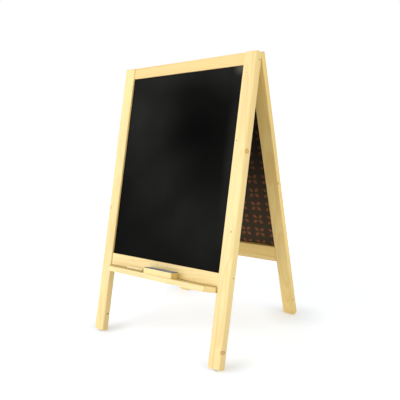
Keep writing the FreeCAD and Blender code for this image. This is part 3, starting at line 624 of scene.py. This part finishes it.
def make_felt_pad():
    """The eraser's felt, brushed up by use: a pad with a soft rim and a matted top.

    Each ring is the pad's outline, a rectangle with rounded corners, shrunk towards its middle:
    the rings run out over the underside, up the side, round a quarter circle of radius r with
    inset r (1 - cos b) and rise r sin b, and in over the top, where seeded noise raises and
    sinks the wool.
    """
    low, high = frame_box("eraser_felt")
    middle = (low + high) / 2
    half = (high - low)[:2] / 2
    outline = rounded_outline(half, FELT_CORNER, FELT_AROUND)
    bend = np.linspace(0, math.pi / 2, 7)
    under = np.linspace(0.1, 1.0, 5)
    edge = 1 - FELT_RIM * (1 - np.cos(bend))[:, None] / half
    top = edge[-1] * np.linspace(0.985, 0.04, 44)[:, None]
    share = np.concatenate([np.stack([under, under], axis=1), edge, top])
    height = high[2] - low[2] - FELT_NAP
    rim_rise = height - FELT_RIM + FELT_RIM * np.sin(bend)
    rise = np.concatenate([np.zeros(len(under)), rim_rise, np.full(len(top), height)])
    shape = (len(share), FELT_AROUND)
    wool = (ripple(shape, 11, 2) + ripple(shape, 12, 12)) * FELT_NAP / 2
    wool[:len(under) + len(bend)] = 0
    rings = np.stack([middle[0] + outline[:, 0] * share[:, :1], middle[1] + outline[:, 1] * share[:, 1:],
                      low[2] + rise[:, None] + wool], axis=-1)
    poles = np.array([(middle[0], middle[1], low[2]), (middle[0], middle[1], low[2] + height)])
    closed_skin("brushed_felt", lean_into_place(rings), *lean_into_place(poles), wool_felt(),
                "eraser", "felt", "eraser_felt")


# ------------------------------------------------------------------ the studio

FLOOR_HALF_SIZE = 9.0
# about where the four feet stand, mirrored into one quarter of the floor
FOOT_PLACE = (0.29, 0.28, 0.0)
SURROUND_GLOW = 0.62
WHITE = paint(1.0, 1.0, 1.0)


def floor_glow(shop):
    """The floor glows so that it reads as white: more with distance, less by the feet."""
    place = shop.node("ShaderNodeTexCoord").outputs["Object"]
    away = shop.vector("LENGTH", place, result=1)
    nearest = shop.vector("DISTANCE", shop.vector("ABSOLUTE", place), FOOT_PLACE, result=1)
    far_glow = shop.smooth(away, 0.5, 3.0, 0.39, SURROUND_GLOW)
    # the weaker glow round the four foot places is a painted shadow by the feet, fixed where the feet stand
    # when the board is open
    return shop.math("MULTIPLY", far_glow, shop.smooth(nearest, 0.02, 0.16, 0.64, 1.0))


def make_floor():
    """A wide pale floor that the board stands on."""
    size = FLOOR_HALF_SIZE
    mesh = bpy.data.meshes.new("studio_floor")
    corners = [(-size, -size, 0), (size, -size, 0), (size, size, 0), (-size, size, 0)]
    mesh.from_pydata(corners, [], [(0, 1, 2, 3)])
    floor = bpy.data.objects.new("studio_floor", mesh)
    bpy.context.scene.collection.objects.link(floor)
    material, shop, shader = new_material("studio_floor_paint")
    shader.inputs["Base Color"].default_value = paint(0.82, 0.86, 0.96)
    shader.inputs["Emission Color"].default_value = WHITE
    shop.feed(shader.inputs["Emission Strength"], floor_glow(shop))
    shader.inputs["Roughness"].default_value = 0.8
    shader.inputs["Specular IOR Level"].default_value = 0.1
    mesh.materials.append(material)


LIGHT_TARGET = (0, 0, 0.5)


def soft_box(name, place, size, power, tint=(1, 1, 1)):
    """A square studio light that faces the middle of the board."""
    light = bpy.data.lights.new(name, "AREA")
    light.shape = "SQUARE"
    light.size = size
    light.energy = power
    light.color = tint
    item = bpy.data.objects.new(name, light)
    bpy.context.scene.collection.objects.link(item)
    item.location = place
    item.rotation_mode = "QUATERNION"
    item.rotation_quaternion = (Vector(LIGHT_TARGET) - Vector(place)).to_track_quat("-Z", "Y")


def make_lights():
    """Bright even surroundings, a large key light left of the front and a weak warm one on the right."""
    world = bpy.data.worlds.new("studio")
    bpy.context.scene.world = world
    world.use_nodes = True
    world.node_tree.nodes.clear()
    shop = Shop(world.node_tree)
    seen = shop.node("ShaderNodeLightPath").outputs["Is Camera Ray"]
    around = shop.node("ShaderNodeBackground", {"Color": WHITE, "Strength": SURROUND_GLOW})
    behind = shop.node("ShaderNodeBackground", {"Color": WHITE, "Strength": 1.0})
    mixed = shop.node("ShaderNodeMixShader", {0: seen, 1: around.outputs[0], 2: behind.outputs[0]})
    shop.node("ShaderNodeOutputWorld", {"Surface": mixed.outputs[0]})
    soft_box("key_light", (-2.2, -3.4, 1.6), 3.4, 121)
    soft_box("side_light", (3.2, -0.6, 1.8), 2.2, 31, tint=(1.0, 0.96, 0.55))


# where the camera stands and how it is turned, in metres and radians; lens and sensor in millimetres
CAMERA_PLACE = (1.0643, -1.4470, 0.7932)
CAMERA_YAW, CAMERA_PITCH, CAMERA_ROLL = 0.6876, 0.1883, -0.0445
SENSOR_WIDTH, LENS = 36.0, 41.832
# how far the picture is shifted off the lens axis, as shares of its width
SHIFT_RIGHT, SHIFT_UP = 0.0758, 0.0364


def make_camera():
    """The camera stands to the right of the board's front, a little above its middle."""
    data = bpy.data.cameras.new("camera")
    camera = bpy.data.objects.new("camera", data)
    bpy.context.scene.collection.objects.link(camera)
    yaw, pitch, roll = CAMERA_YAW, CAMERA_PITCH, CAMERA_ROLL
    ahead = Vector((-math.sin(yaw) * math.cos(pitch), math.cos(yaw) * math.cos(pitch), -math.sin(pitch)))
    level = Vector((math.cos(yaw), math.sin(yaw), 0.0))
    above = level.cross(ahead)
    right = math.cos(roll) * level + math.sin(roll) * above
    up = math.cos(roll) * above - math.sin(roll) * level
    turned = Matrix((right, up, -ahead)).transposed()
    camera.matrix_world = Matrix.Translation(CAMERA_PLACE) @ turned.to_4x4()
    data.sensor_width = SENSOR_WIDTH
    data.lens = LENS
    data.shift_x = SHIFT_RIGHT
    data.shift_y = SHIFT_UP
    data.clip_start = 0.05
    bpy.context.scene.camera = camera


dress_pine()
dress_the_rest()
make_chalk_stick()
make_felt_pad()
make_floor()
make_lights()
make_camera()
bpy.context.scene.view_settings.view_transform = "Standard"
